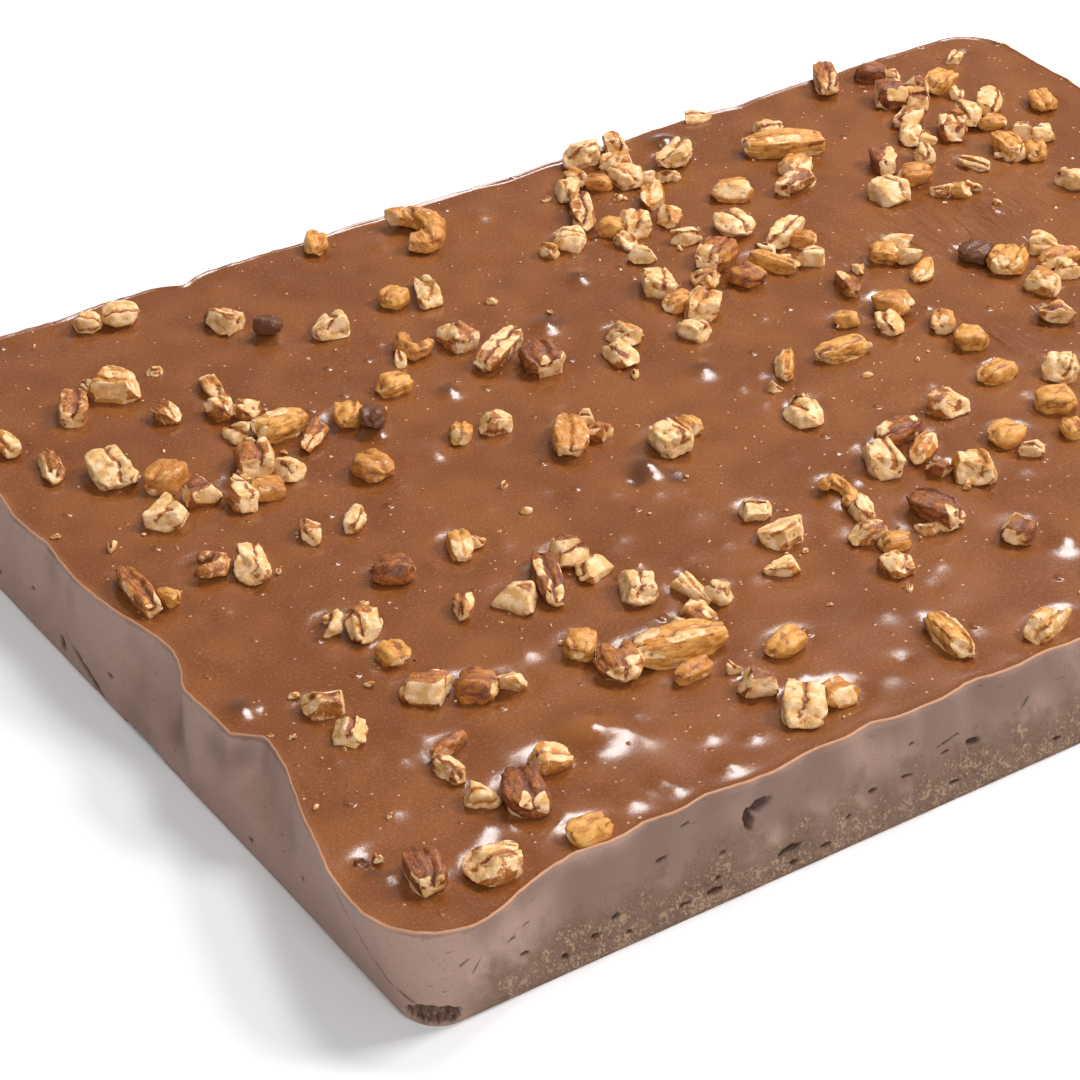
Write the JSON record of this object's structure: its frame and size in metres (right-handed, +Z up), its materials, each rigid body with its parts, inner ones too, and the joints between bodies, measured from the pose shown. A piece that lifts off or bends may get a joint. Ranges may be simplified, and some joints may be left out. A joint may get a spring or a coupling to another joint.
{
  "type": "chocolate fudge slab",
  "caption": "Whole poured slab of chocolate fudge with fluted walls, a thin raised lip and chopped pecans scattered on its glossy top.",
  "frame": {"origin": "middle of the flat underside, at the level of the table", "axes": "+X along the long sides, +Y across the slab, +Z up through the nuts"},
  "size_m": [0.467, 0.331, 0.0366],
  "materials": {
    "fudge": "milk-brown fudge: glossy smooth top, matte greyish walls, crumbly at the foot",
    "pecan": "chopped pecan: ridged reddish-brown skin and creamy broken faces"
  },
  "bodies": {
    "root": {"fudge_slab": "fudge", "pecan_01": "pecan", "pecan_02": "pecan", "pecan_03": "pecan", "pecan_04": "pecan", "pecan_05": "pecan", "pecan_06": "pecan", "pecan_07": "pecan", "pecan_08": "pecan", "pecan_09": "pecan", "pecan_10": "pecan", "pecan_11": "pecan", "pecan_12": "pecan", "pecan_13": "pecan", "pecan_14": "pecan", "pecan_15": "pecan", "pecan_16": "pecan", "pecan_17": "pecan", "pecan_18": "pecan", "pecan_19": "pecan", "pecan_20": "pecan", "pecan_21": "pecan", "pecan_22": "pecan", "pecan_23": "pecan", "pecan_24": "pecan", "pecan_25": "pecan", "pecan_26": "pecan", "pecan_27": "pecan", "pecan_28": "pecan", "pecan_29": "pecan", "pecan_30": "pecan", "pecan_31": "pecan", "pecan_32": "pecan", "pecan_33": "pecan", "pecan_34": "pecan", "pecan_35": "pecan", "pecan_36": "pecan", "pecan_37": "pecan", "pecan_38": "pecan", "pecan_39": "pecan", "pecan_40": "pecan", "pecan_41": "pecan", "pecan_42": "pecan", "pecan_43": "pecan", "pecan_44": "pecan", "pecan_45": "pecan", "pecan_46": "pecan", "pecan_47": "pecan", "pecan_48": "pecan", "pecan_49": "pecan", "pecan_50": "pecan", "pecan_51": "pecan", "pecan_52": "pecan", "pecan_53": "pecan", "pecan_54": "pecan", "pecan_55": "pecan", "pecan_56": "pecan", "pecan_57": "pecan", "pecan_58": "pecan", "pecan_59": "pecan"}
  },
  "joints": []
}
